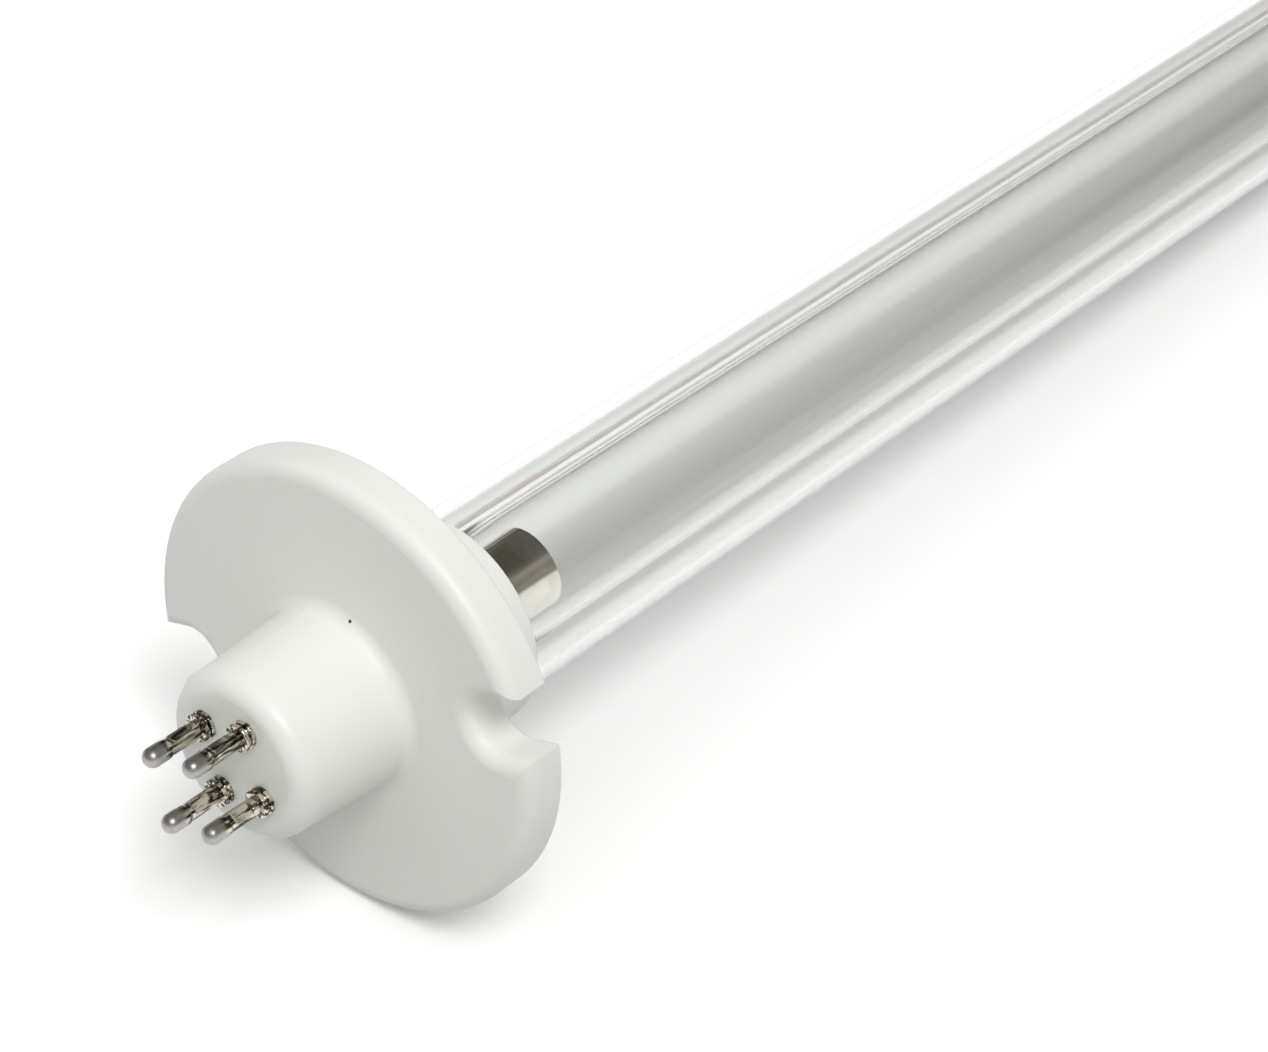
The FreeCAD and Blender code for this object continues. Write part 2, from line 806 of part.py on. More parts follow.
def resting_placement():
    """Lay the lamp on the floor: flange rim and far dome both touch, origin under the middle."""
    rim_round = size("flange_back_round").value
    rim_reach = flange_radius.value - rim_round
    rim_station = size("flange_thickness").value - rim_round
    dome_radius = sleeve_radius.value
    span = sleeve_dome_start.value - rim_station
    slant = math.hypot(span, rim_reach)
    tilt = math.acos((dome_radius - rim_round) / slant) - math.atan2(span, rim_reach)
    height = rim_station * math.sin(tilt) + rim_reach * math.cos(tilt) + rim_round
    roll = math.radians(size("rest_roll").value)
    far_reach = sleeve_dome_start.value * math.cos(tilt) + dome_radius
    tip_station = boss_front.value - size("pin_reach").value + pin_radius.value
    lowest_pin = min(y.value * math.sin(roll) + z.value * math.cos(roll) for y, z in pin_places())
    near_reach = tip_station * math.cos(tilt) + lowest_pin * math.sin(tilt) - pin_radius.value
    rolled = Rotation(Vector(1, 0, 0), size("rest_roll").value)
    tilted = Rotation(Vector(0, 1, 0), math.degrees(tilt))
    shift = Vector(-(far_reach + near_reach) / 2, 0, height)
    return Placement(shift, tilted * rolled)


def build_pieces():
    """Build every piece and give each with its place in the lamp's own frame."""
    unmoved = Placement()
    pieces = [
        (build_base(), unmoved),
        (build_sleeve(), unmoved),
        (build_arc_tube(), unmoved),
        (build_disc("near_disc", near_disc_start), unmoved),
        (build_disc("far_disc", far_disc_start), unmoved),
    ]
    for number, crimp_turn in enumerate(CRIMP_TURNS, start=1):
        pieces.append(build_pin(number, crimp_turn))
    for number in (1, 2):
        pieces.append((build_near_lead(number), unmoved))
        pieces.append((build_return_lead(number), unmoved))
    for place, end, inward in (("near", arc_start, 1), ("far", arc_end, -1)):
        for number, side in ((1, 1), (2, -1)):
            pieces.append(build_foil(f"{place}_foil_{number}", end, inward, side))
            pieces.append(build_post(f"{place}_post_{number}", end, inward, side))
        pieces.append(build_coil(f"{place}_cathode", end, inward))
        pieces.append((build_shield(f"{place}_shield", end, inward), unmoved))
        pieces.append((build_stay(f"{place}_shield_stay", end, inward), unmoved))
    pieces.append(build_bead())
    return pieces


def check_document():
    """Stop if any object of the document failed."""
    for item in doc.Objects:
        if {"Invalid", "Error"} & set(item.State):
            raise RuntimeError(f"{item.Name} failed: {item.State}")


pieces = build_pieces()
laid = resting_placement()
for piece, own in pieces:
    piece.Placement = laid * own
doc.recompute()
check_document()
for piece, _ in pieces:
    if piece.Shape.isNull() or not piece.Shape.isValid():
        raise RuntimeError(f"{piece.Label} has no sound shape")

os.makedirs("parts", exist_ok=True)
for piece, _ in pieces:
    piece.Shape.exportStep(f"parts/{piece.Label}.step")
    print(f"{piece.Label}: {piece.Shape.Volume:.2f} mm3")
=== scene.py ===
"""Dresses the germicidal lamp with its finishes and lights it on a pale floor.

The lamp's own frame has X along its axis, from the front face of the flange to the far end,
and Y through the two notches. LampPose carries that frame onto the floor.
"""
import logging
import math
from dataclasses import dataclass
from enum import Enum
from typing import Any, Iterable

import bmesh
import bpy
from mathutils import Matrix, Vector


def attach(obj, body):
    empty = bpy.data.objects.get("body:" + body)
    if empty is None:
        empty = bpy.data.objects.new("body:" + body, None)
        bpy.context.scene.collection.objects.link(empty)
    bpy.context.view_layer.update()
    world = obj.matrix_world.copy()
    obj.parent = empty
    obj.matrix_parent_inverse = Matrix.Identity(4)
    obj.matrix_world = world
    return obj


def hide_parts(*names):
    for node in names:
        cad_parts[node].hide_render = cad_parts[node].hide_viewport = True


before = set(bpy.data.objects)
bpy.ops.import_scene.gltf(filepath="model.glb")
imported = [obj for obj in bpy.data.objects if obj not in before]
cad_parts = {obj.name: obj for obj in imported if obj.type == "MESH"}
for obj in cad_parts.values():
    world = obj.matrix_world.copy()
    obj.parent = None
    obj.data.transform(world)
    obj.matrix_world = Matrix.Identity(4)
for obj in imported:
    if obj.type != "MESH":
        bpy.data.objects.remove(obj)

Rgba = tuple[float, float, float, float]
Triple = tuple[float, float, float]
Span = tuple[float, float]

LOG = logging.getLogger("lamp")
MM = 0.001
ROUND_STEPS = 128
SHARP_ANGLE = math.radians(32.0)
OUTLINE_WELD = 1e-8
SHAPE_WELD = 1e-7


class End(Enum):
    """The two ends of the arc tube."""

    NEAR = "near"
    FAR = "far"

    @property
    def outward(self) -> int:
        """Give the way out of the arc tube at this end, along the lamp's axis."""
        return -1 if self is End.NEAR else 1


@dataclass(frozen=True)
class LampPose:
    """How the lamp lies: on the rim of its flange and the far end of its sleeve."""

    tilt: float = math.radians(3.1557103)
    roll: float = math.radians(-17.9)
    along: float = -140.913075 * MM
    height: float = 27.739659 * MM

    @property
    def matrix(self) -> Matrix:
        """Give the matrix from the lamp's own frame to the floor's."""
        turned = Matrix.Rotation(self.tilt, 4, "Y") @ Matrix.Rotation(self.roll, 4, "X")
        return Matrix.Translation((self.along, 0.0, self.height)) @ turned


POSE = LampPose()


class Shade:
    """A value in a node tree: adding, multiplying and so on make the Math nodes."""

    def __init__(self, bench: "NodeBench", socket: bpy.types.NodeSocket) -> None:
        """Wrap a socket of the bench's tree."""
        self.bench = bench
        self.socket = socket

    def _maths(self, operation: str, *values: Any) -> "Shade":
        """Make one Math node.

        Args:
            operation: the Math node's operation.
            values: its inputs, in order.

        Returns:
            The node's result.
        """
        node = self.bench.node("ShaderNodeMath", {"operation": operation}, dict(enumerate(values)))
        return Shade(self.bench, node.outputs[0])

    def __add__(self, other: Any) -> "Shade":
        """Add."""
        return self._maths("ADD", self, other)

    __radd__ = __add__

    def __mul__(self, other: Any) -> "Shade":
        """Multiply."""
        return self._maths("MULTIPLY", self, other)

    __rmul__ = __mul__

    def __sub__(self, other: Any) -> "Shade":
        """Take other away."""
        return self._maths("SUBTRACT", self, other)

    def __rsub__(self, other: Any) -> "Shade":
        """Take this away from other."""
        return self._maths("SUBTRACT", other, self)

    def largest(self, other: Any) -> "Shade":
        """Give the larger of two values."""
        return self._maths("MAXIMUM", self, other)

    def step(self, low: float, high: float, at_low: float = 0.0, at_high: float = 1.0) -> "Shade":
        """Pass smoothly from one value to another.

        Args:
            low: the input at which the change starts.
            high: the input at which it ends.
            at_low: the result below low.
            at_high: the result above high.

        Returns:
            The smooth step.
        """
        settings = {"interpolation_type": "SMOOTHSTEP"}
        feeds = {0: self, 1: low, 2: high, 3: at_low, 4: at_high}
        return Shade(self.bench, self.bench.node("ShaderNodeMapRange", settings, feeds).outputs[0])


class NodeBench:
    """Makes the nodes of one material or of the world."""

    def __init__(self, tree: bpy.types.NodeTree) -> None:
        """Start on an empty tree."""
        self.tree = tree
        tree.nodes.clear()

    def node(
        self, kind: str, settings: dict[str, Any] | None = None, feeds: dict[Any, Any] | None = None
    ) -> bpy.types.Node:
        """Make one node.

        Args:
            kind: the node's type.
            settings: its settings.
            feeds: the value or link of each input, by name or number.

        Returns:
            The new node.
        """
        made = self.tree.nodes.new(kind)
        for name, value in (settings or {}).items():
            setattr(made, name, value)
        for name, value in (feeds or {}).items():
            self._feed(made.inputs[name], value)
        return made

    def _feed(self, target: bpy.types.NodeSocket, value: Any) -> None:
        """Link or set one input.

        Args:
            target: the input.
            value: a shade or socket to link, or a plain value to set.
        """
        if isinstance(value, Shade):
            self.tree.links.new(value.socket, target)
        elif isinstance(value, bpy.types.NodeSocket):
            self.tree.links.new(value, target)
        else:
            target.default_value = value

    def shade(self, node: bpy.types.Node, output: Any = 0) -> Shade:
        """Take one output of a node as a value."""
        return Shade(self, node.outputs[output])

    def lamp_place(self) -> bpy.types.NodeSocket:
        """Give each point's place in the lamp's own frame, in metres."""
        where = self.node("ShaderNodeTexCoord").outputs["Object"]
        settings = {"vector_type": "TEXTURE"}
        feeds = {
            "Vector": where,
            "Location": (POSE.along, 0.0, POSE.height),
            "Rotation": (POSE.roll, POSE.tilt, 0.0),
        }
        return self.node("ShaderNodeMapping", settings, feeds).outputs[0]

    def stretched(self, place: bpy.types.NodeSocket, scale: Triple) -> bpy.types.NodeSocket:
        """Scale a place along each axis."""
        settings = {"operation": "MULTIPLY"}
        return self.node("ShaderNodeVectorMath", settings, {0: place, 1: scale}).outputs[0]

    def noise(self, place: Any, scale: float, detail: float = 3.0, rough: float = 0.5) -> Shade:
        """Make fine random variation from 0 to 1.

        Args:
            place: where to read it.
            scale: how many cells to a metre.
            detail: how many finer layers.
            rough: how strong the finer layers are.

        Returns:
            The variation.
        """
        feeds = {"Vector": place, "Scale": scale, "Detail": detail, "Roughness": rough}
        return Shade(self, self.node("ShaderNodeTexNoise", None, feeds).outputs[0])

    def blend(self, factor: Any, first: Any, second: Any) -> bpy.types.NodeSocket:
        """Mix two colours."""
        settings = {"data_type": "RGBA"}
        made = self.node("ShaderNodeMix", settings, {0: factor, 6: first, 7: second})
        return made.outputs[2]

    def bump(self, height: Shade, distance: float, strength: float = 1.0) -> bpy.types.NodeSocket:
        """Turn a height into a bumped normal."""
        feeds = {"Height": height, "Distance": distance, "Strength": strength}
        return self.node("ShaderNodeBump", None, feeds).outputs[0]


def colour(red: float, green: float, blue: float) -> Rgba:
    """Give an opaque colour."""
    return (red, green, blue, 1.0)


def new_material(name: str) -> tuple[bpy.types.Material, NodeBench]:
    """Start a material.

    Args:
        name: its name.

    Returns:
        The material and the bench for its nodes.
    """
    material = bpy.data.materials.new(name)
    material.use_nodes = True
    return material, NodeBench(material.node_tree)


def surface(bench: NodeBench, feeds: dict[str, Any]) -> None:
    """End a material in a Principled shader.

    Args:
        bench: the material's bench.
        feeds: the shader's inputs.
    """
    shader = bench.node("ShaderNodeBsdfPrincipled", None, feeds)
    bench.node("ShaderNodeOutputMaterial", None, {"Surface": shader.outputs[0]})


@dataclass(frozen=True)
class MouldedWhite:
    """Satin white moulding with a faint grain and one dark speck at the root of the boss."""

    name: str = "moulded_white"
    tone: Rgba = colour(0.865, 0.87, 0.825)
    cool: Rgba = colour(0.85, 0.855, 0.81)
    dirt: Rgba = colour(0.02, 0.02, 0.018)
    speck_place: Triple = (-0.2 * MM, -5.72 * MM, 9.93 * MM)
    speck_edge: Span = (0.12 * MM, 0.26 * MM)
    ior: float = 1.48
    scatter: float = 0.12
    scatter_reach: Triple = (2.2 * MM, 2.0 * MM, 1.8 * MM)

    def material(self) -> bpy.types.Material:
        """Make the finish."""
        made, bench = new_material(self.name)
        place = bench.lamp_place()
        cloud = bench.noise(place, 60.0, 2.0).step(0.35, 0.7)
        grain = bench.noise(place, 2600.0, 2.0)
        flow = bench.noise(place, 180.0, 3.0)
        settings = {"operation": "DISTANCE"}
        away = bench.node("ShaderNodeVectorMath", settings, {0: place, 1: self.speck_place})
        speck = bench.shade(away, "Value").step(*self.speck_edge, 1.0, 0.0)
        white = bench.blend(cloud, self.tone, self.cool)
        surface(bench, {
            "Base Color": bench.blend(speck, white, self.dirt),
            "Roughness": 0.36 + 0.1 * flow,
            "IOR": self.ior,
            "Subsurface Weight": self.scatter,
            "Subsurface Radius": self.scatter_reach,
            "Subsurface Scale": 1.0,
            "Normal": bench.bump(grain * 0.35 + flow, 0.00003, 0.5),
        })
        return made


@dataclass(frozen=True)
class NickelPlate:
    """Nickel plate with fine turning lines: grey on the tip, warm and streaked behind it, the dark
    streaks partly stain and partly painted reflection.
    """

    name: str = "nickel_plate"
    bright: Rgba = colour(0.47, 0.46, 0.445)
    warm: Rgba = colour(0.66, 0.62, 0.53)
    # near-black streak colour: partly stain, partly painted reflection of the dark room
    stain_and_reflection_tone: Rgba = colour(0.035, 0.028, 0.02)
    tip_end: Span = (-22.2 * MM, -21.2 * MM)
    stain_and_reflection_edge: Span = (0.48, 0.54)

    def material(self) -> bpy.types.Material:
        """Make the finish."""
        made, bench = new_material(self.name)
        place = bench.lamp_place()
        lines = bench.noise(bench.stretched(place, (1.0, 6.0, 6.0)), 900.0, 3.0)
        streaks = bench.noise(bench.stretched(place, (0.13, 1.0, 1.0)), 1900.0, 4.0, 0.6)
        along = bench.shade(bench.node("ShaderNodeSeparateXYZ", None, {0: place}), 0)
        behind = along.step(*self.tip_end)
        worn = bench.blend(behind, self.bright, self.warm)
        # dark streaks along the shank, mostly behind the tip: partly stain, partly painted
        # reflection
        stain_and_reflection = streaks.step(*self.stain_and_reflection_edge) * (0.12 + 0.85 * behind)
        surface(bench, {
            "Base Color": bench.blend(stain_and_reflection, worn, self.stain_and_reflection_tone),
            "Metallic": 1.0,
            "Roughness": 0.36 - 0.27 * behind + 0.12 * lines,
            "Normal": bench.bump(lines + streaks, 0.00005, 0.6),
        })
        return made


@dataclass(frozen=True)
class ClearGlass:
    """Drawn clear tubing with faint lines along its length."""

    name: str
    tint: Rgba
    streak: Rgba
    ior: float = 1.46

    def material(self) -> bpy.types.Material:
        """Make the finish."""
        made, bench = new_material(self.name)
        place = bench.lamp_place()
        drawn = bench.noise(bench.stretched(place, (0.03, 1.0, 1.0)), 900.0, 3.0)
        surface(bench, {
            "Base Color": bench.blend(drawn, self.tint, self.streak),
            "Roughness": 0.004 * drawn,
            "IOR": self.ior,
            "Transmission Weight": 1.0,
            "Normal": bench.bump(drawn, 0.00002, 0.15),
        })
        return made


@dataclass(frozen=True)
class DrawnMetal:
    """Drawn wire, foil or rolled strip, bare or under a pale oxide.

    The glow makes up for the lamp light that rendered glass holds back from what lies in it.
    """

    name: str
    tone: Rgba
    dull: Rgba
    roughness: float = 0.28
    spread: float = 0.12
    metallic: float = 1.0
    glow: float = 0.0

    def material(self) -> bpy.types.Material:
        """Make the finish."""
        made, bench = new_material(self.name)
        place = bench.lamp_place()
        lines = bench.noise(bench.stretched(place, (0.08, 1.0, 1.0)), 1500.0, 3.0)
        cloud = bench.noise(place, 300.0, 3.0).step(0.4, 0.7)
        surface(bench, {
            "Base Color": bench.blend(cloud, self.tone, self.dull),
            "Metallic": self.metallic,
            "Roughness": self.roughness + self.spread * (lines - 0.5),
            "Emission Color": self.tone,
            "Emission Strength": self.glow,
            "Normal": bench.bump(lines, 0.00001, 0.4),
        })
        return made


@dataclass(frozen=True)
class PaleCeramic:
    """Unglazed ceramic or an oxide coating: pale, matt and grainy."""

    name: str
    tone: Rgba = colour(0.80, 0.78, 0.73)
    shade: Rgba = colour(0.70, 0.67, 0.61)

    def material(self) -> bpy.types.Material:
        """Make the finish."""
        made, bench = new_material(self.name)
        place = bench.lamp_place()
        grain = bench.noise(place, 2200.0, 4.0, 0.6)
        cloud = bench.noise(place, 250.0, 2.0)
        surface(bench, {
            "Base Color": bench.blend(cloud, self.tone, self.shade),
            "Roughness": 0.7 + 0.2 * grain,
            "Normal": bench.bump(grain, 0.00004, 0.6),
        })
        return made


@dataclass(frozen=True)
class LiquidMetal:
    """A bead of mercury with a faint skin."""

    name: str = "mercury"
    tone: Rgba = colour(0.78, 0.78, 0.80)
    skinned: Rgba = colour(0.62, 0.62, 0.63)

    def material(self) -> bpy.types.Material:
        """Make the finish."""
        made, bench = new_material(self.name)
        skin = bench.noise(bench.lamp_place(), 1800.0, 2.0).step(0.5, 0.8)
        surface(bench, {
            "Base Color": bench.blend(skin, self.tone, self.skinned),
            "Metallic": 1.0,
            "Roughness": 0.03 + 0.12 * skin,
        })
        return made


class Turning:
    """A shape turned about the lamp's axis from an outline of (along, radius) points."""

    def __init__(self, along: float, radius: float) -> None:
        """Start the outline at one point."""
        self.mesh = bmesh.new()
        self.last = self.mesh.verts.new((along, radius, 0.0))

    def line(self, along: float, radius: float, parts: int = 1) -> "Turning":
        """Run straight to a point.

        Args:
            along: the point's place along the axis.
            radius: its radius.
            parts: how many pieces the run is made of.

        Returns:
            The same outline.
        """
        step = (Vector((along, radius, 0.0)) - self.last.co) / parts
        for _ in range(parts):
            made = bmesh.ops.extrude_vert_indiv(self.mesh, verts=[self.last])
            vert = made["verts"][0]
            bmesh.ops.translate(self.mesh, verts=[vert], vec=step)
            self.last = vert
        return self

    def turn(self, along: float, radius: float, degrees: float, parts: int) -> "Turning":
        """Swing round a centre.

        Args:
            along: the centre's place along the axis.
            radius: the centre's radius.
            degrees: how far to swing, anticlockwise.
            parts: how many pieces the arc is made of.

        Returns:
            The same outline.
        """
        made = bmesh.ops.spin(
            self.mesh, geom=[self.last], cent=(along, radius, 0.0), axis=(0.0, 0.0, 1.0),
            angle=math.radians(degrees), steps=parts, use_duplicate=False,
        )
        self.last = next(item for item in made["geom_last"] if isinstance(item, bmesh.types.BMVert))
        return self

    def spun(self, steps: int = ROUND_STEPS) -> bmesh.types.BMesh:
        """Turn the outline right round.

        Args:
            steps: how many faces round.

        Returns:
            The closed shape, in the lamp's own frame.
        """
        bm = self.mesh
        bmesh.ops.remove_doubles(bm, verts=bm.verts, dist=OUTLINE_WELD)
        bmesh.ops.spin(
            bm, geom=bm.verts[:] + bm.edges[:], cent=(0.0, 0.0, 0.0), axis=(1.0, 0.0, 0.0),
            angle=math.tau, steps=steps, use_merge=True, use_duplicate=False,
        )
        bmesh.ops.remove_doubles(bm, verts=bm.verts, dist=SHAPE_WELD)
        bmesh.ops.recalc_face_normals(bm, faces=bm.faces)
        return bm


def finish_piece(
    name: str, bm: bmesh.types.BMesh, place: Matrix, material: bpy.types.Material,
    nodes: Iterable[str],
) -> bpy.types.Object:
    """Turn a finished shape into a piece that stands for CAD nodes.

    Args:
        name: the piece's name.
        bm: its shape.
        place: from the shape's frame to the floor's.
        material: its finish.
        nodes: the CAD nodes that it stands for.

    Returns:
        The new object.
    """
    bm.transform(place)
    data = bpy.data.meshes.new(name)
    bm.to_mesh(data)
    bm.free()
    for polygon in data.polygons:
        polygon.use_smooth = True
    data.set_sharp_from_angle(angle=SHARP_ANGLE)
    piece = bpy.data.objects.new(name, data)
    bpy.context.scene.collection.objects.link(piece)
    data.materials.append(material)
    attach(piece, "root")
    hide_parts(*nodes)
    LOG.info("%s: %d faces", name, len(data.polygons))
    return piece


def dress(node: str, material: bpy.types.Material) -> None:
    """Give a CAD node its finish.

    Args:
        node: the node's name.
        material: the finish.
    """
    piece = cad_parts[node]
    piece.data.materials.clear()
    piece.data.materials.append(material)
    LOG.info("%s: finish %s", node, material.name)


@dataclass
class Base:
    """The white moulding and its four contact pins."""

    boss_front: float = -15.3 * MM
    half_short: float = 3.175 * MM
    half_long: float = 3.96 * MM
    pin_radius: float = 1.15 * MM
    shank_radius: float = 1.05 * MM
    pin_reach: float = 8.7 * MM
    tail_radius: float = 0.95 * MM
    tail_length: float = 3.3 * MM
    ring_radius: float = 1.65 * MM
    ring_width: float = 0.5 * MM
    ring_gap: float = 0.3 * MM
    ring_round: float = 0.16 * MM
    neck_radius: float = 1.3 * MM
    crimp_depth: float = 0.4 * MM
    head_length: float = 1.9 * MM
    crimp_length: float = 3.9 * MM
    crimp_slope: float = 0.8 * MM
    slope_round: float = 0.15 * MM
    crimp_turns: tuple[float, ...] = (10.0, 14.0, 55.0, 48.0)
    pin_steps: int = 72
    round_parts: int = 4
    dome_parts: int = 14
    shank_parts: int = 40

    def build(self) -> None:
        """Dress the moulding and make the pins."""
        dress("base", MouldedWhite().material())
        nickel = NickelPlate().material()
        for number, turn in enumerate(self.crimp_turns, start=1):
            self._pin(number, turn, nickel)

    def _pin(self, number: int, turn: float, nickel: bpy.types.Material) -> None:
        """Make one pin: domed tip, crimped shank, two rings and a tail in the boss.

        Args:
            number: the pin's number, from 1.
            turn: how far its crimp is turned about it, in degrees.
            nickel: its finish.
        """
        tip = -self.pin_reach
        shank_end = -2 * self.ring_width - self.ring_gap
        head_end = tip + self.pin_radius + self.head_length
        outline = Turning(self.tail_length, 0.0)
        outline.line(self.tail_length, self.tail_radius).line(0.0, self.tail_radius)
        for start in (0.0, -self.ring_width - self.ring_gap):
            inner = self.tail_radius if start == 0.0 else self.neck_radius
            edge = self.ring_radius - self.ring_round
            outline.line(start, inner).line(start, edge)
            outline.turn(start - self.ring_round, edge, 90.0, self.round_parts)
            back = start - self.ring_width
            outline.line(back + self.ring_round, self.ring_radius)
            outline.turn(back + self.ring_round, edge, 90.0, self.round_parts)
            outline.line(back, self.neck_radius)
        outline.line(shank_end, self.shank_radius)
        outline.line(head_end + self.slope_round, self.shank_radius, self.shank_parts)
        outline.line(head_end - self.slope_round, self.pin_radius, self.round_parts)
        outline.line(tip + self.pin_radius, self.pin_radius, self.round_parts)
        outline.turn(tip + self.pin_radius, 0.0, 90.0, self.dome_parts)
        bm = outline.spun(self.pin_steps)
        for vert in bm.verts:
            vert.co.z = min(vert.co.z, self._crimp_level(vert.co.x - head_end))
        row, column = divmod(number - 1, 2)
        y = self.half_short * (1 if column == 0 else -1)
        z = self.half_long * (1 if row == 0 else -1)
        turned = Matrix.Rotation(math.radians(turn), 4, "X")
        place = POSE.matrix @ Matrix.Translation((self.boss_front, y, z)) @ turned
        nodes = [f"contact_pin_{number}"]
        finish_piece(f"pin_{number}", bm, place, nickel, nodes)

    def _crimp_level(self, past_head: float) -> float:
        """Give how high the pin may stand at a place along it, where the press flattened it.

        Args:
            past_head: how far the place lies behind the pin's head.

        Returns:
            The height above the pin's axis.
        """
        above = self.pin_radius + self.crimp_depth
        floor = self.pin_radius - self.crimp_depth
        depth = min(past_head, self.crimp_length - past_head) / self.crimp_slope
        fall = min(max(depth, 0.0), 1.0)
        level = above + (floor - above) * fall
        return level if depth > 0.0 else above


@dataclass
class Sleeve:
    """The outer glass: open at the base, domed at the far end."""

    start: float = 1.0 * MM
    dome: float = 295.0 * MM
    radius: float = 11.5 * MM
    bore: float = 10.0 * MM
    lip: float = 0.5 * MM
    rings: int = 24
    lip_parts: int = 4
    dome_parts: int = 32
    tint: Rgba = colour(0.98, 0.985, 0.976)
    streak: Rgba = colour(0.96, 0.967, 0.955)

    def build(self) -> None:
        """Make the sleeve, with rings along it that keep its shading straight."""
        outline = Turning(self.start, self.bore + self.lip)
        outline.turn(self.start + self.lip, self.bore + self.lip, -90.0, self.lip_parts)
        outline.line(self.start + self.lip, self.radius)
        outline.line(self.dome, self.radius, self.rings)
        outline.turn(self.dome, 0.0, -90.0, self.dome_parts)
        outline.line(self.dome + self.bore, 0.0)
        outline.turn(self.dome, 0.0, 90.0, self.dome_parts)
        outline.line(self.start + self.lip, self.bore, self.rings)
        outline.turn(self.start + self.lip, self.bore + self.lip, -90.0, self.lip_parts)
        bm = outline.spun()
        glass = ClearGlass("sleeve_glass", self.tint, self.streak).material()
        finish_piece("sleeve", bm, POSE.matrix, glass, ["outer_sleeve"])


@dataclass
class ArcTube:
    """The inner glass, pressed flat and sealed at both ends."""

    start: float = 3.5 * MM
    length: float = 287.0 * MM
    radius: float = 7.5 * MM
    bore: float = 6.5 * MM
    seal: float = 9.0 * MM
    cone: float = 6.0 * MM
    press: float = 7.5 * MM
    shoulder: float = 6.5 * MM
    press_width: float = 12.4 * MM
    press_thickness: float = 3.8 * MM
    rings: int = 24
    face_parts: int = 6
    press_parts: int = 28
    cone_parts: int = 12
    tint: Rgba = colour(1.0, 1.0, 0.995)
    streak: Rgba = colour(0.985, 0.99, 0.98)

    def build(self) -> None:
        """Make the arc tube: turned with its cavity, then pressed flat at both ends."""
        end = self.start + self.length
        shoulder = self.press + self.shoulder
        outline = Turning(self.start, 0.0)
        outline.line(self.start, self.radius, self.face_parts)
        outline.line(self.start + shoulder, self.radius, self.press_parts)
        outline.line(end - shoulder, self.radius, self.rings)
        outline.line(end, self.radius, self.press_parts)
        outline.line(end, 0.0, self.face_parts)
        bm = outline.spun()
        cavity = Turning(self.start + self.seal, 0.0)
        cavity.line(self.start + self.seal + self.cone, self.bore, self.cone_parts)
        cavity.line(end - self.seal - self.cone, self.bore, self.rings)
        cavity.line(end - self.seal, 0.0, self.cone_parts)
        inner = cavity.spun()
        bmesh.ops.reverse_faces(inner, faces=inner.faces)
        spare = bpy.data.meshes.new("cavity")
        inner.to_mesh(spare)
        inner.free()
        bm.from_mesh(spare)
        bpy.data.meshes.remove(spare)
        for vert in bm.verts:
            depth = min(vert.co.x - self.start, end - vert.co.x)
            ease = max(0.0, min(1.0, (depth - self.press) / self.shoulder))
            ease = ease * ease * (3.0 - 2.0 * ease)
            wide = self.press_width / (2 * self.radius)
            thin = self.press_thickness / (2 * self.radius)
            vert.co.y *= wide + (1.0 - wide) * ease
            vert.co.z *= thin + (1.0 - thin) * ease
        glass = ClearGlass("arc_glass", self.tint, self.streak).material()
        finish_piece("inner_tube", bm, POSE.matrix, glass, ["arc_tube"])


@dataclass
class Insides:
    """What the glass shows of the insides: leads, discs, foils, posts, cathodes and rings."""

    ring_edges: Span = (30.1 * MM, 263.9 * MM)
    ring_length: float = 9.6 * MM
    ring_radius: float = 5.0 * MM
    ring_wall: float = 0.3 * MM
    bead_place: Span = (262.0 * MM, 5.8 * MM)
    bead_radius: float = 0.7 * MM
    ring_steps: int = 96

    def build(self) -> None:
        """Dress the inner CAD nodes and make the rings and the bead."""
        wire = DrawnMetal(
            "lead_wire", colour(0.95, 0.90, 0.88), colour(0.90, 0.84, 0.81),
            roughness=0.6, spread=0.1, metallic=0.0, glow=0.28,
        )
        post = DrawnMetal("post_wire", colour(0.50, 0.50, 0.50), colour(0.38, 0.38, 0.38))
        foil = DrawnMetal("seal_foil", colour(0.55, 0.55, 0.56), colour(0.45, 0.44, 0.44))
        ceramic = PaleCeramic("disc_ceramic")
        coil = PaleCeramic("coil_oxide", colour(0.82, 0.81, 0.77), colour(0.6, 0.6, 0.58))
        wires, posts, foils = wire.material(), post.material(), foil.material()
        discs, coils = ceramic.material(), coil.material()
        for number in (1, 2):
            dress(f"near_lead_{number}", wires)
            dress(f"return_lead_{number}", wires)
        for end in End:
            dress(f"{end.value}_disc", discs)
            dress(f"{end.value}_cathode", coils)
            dress(f"{end.value}_shield_stay", posts)
            for number in (1, 2):
                dress(f"{end.value}_foil_{number}", foils)
                dress(f"{end.value}_post_{number}", posts)
        self._rings()
        self._bead()

    def _rings(self) -> None:
        """Make the metal ring round each cathode."""
        strip = DrawnMetal(
            "ring_strip", colour(0.88, 0.86, 0.80), colour(0.80, 0.76, 0.68), roughness=0.1
        ).material()
        inner = self.ring_radius - self.ring_wall
        for end, edge in zip(End, self.ring_edges):
            other = edge + end.outward * self.ring_length
            outline = Turning(edge, inner)
            outline.line(edge, self.ring_radius).line(other, self.ring_radius)
            outline.line(other, inner).line(edge, inner)
            bm = outline.spun(self.ring_steps)
            nodes = [f"{end.value}_shield"]
            finish_piece(f"{end.value}_ring", bm, POSE.matrix, strip, nodes)

    def _bead(self) -> None:
        """Make the bead of mercury where it lies in the arc tube."""
        bm = bmesh.new()
        bmesh.ops.create_icosphere(bm, subdivisions=4, radius=self.bead_radius)
        down = math.radians(-90.0) - POSE.roll
        along, reach = self.bead_place
        spot = Vector((along, reach * math.cos(down), reach * math.sin(down)))
        place = Matrix.Translation(POSE.matrix @ spot)
        finish_piece("bead", bm, place, LiquidMetal().material(), ["mercury_bead"])


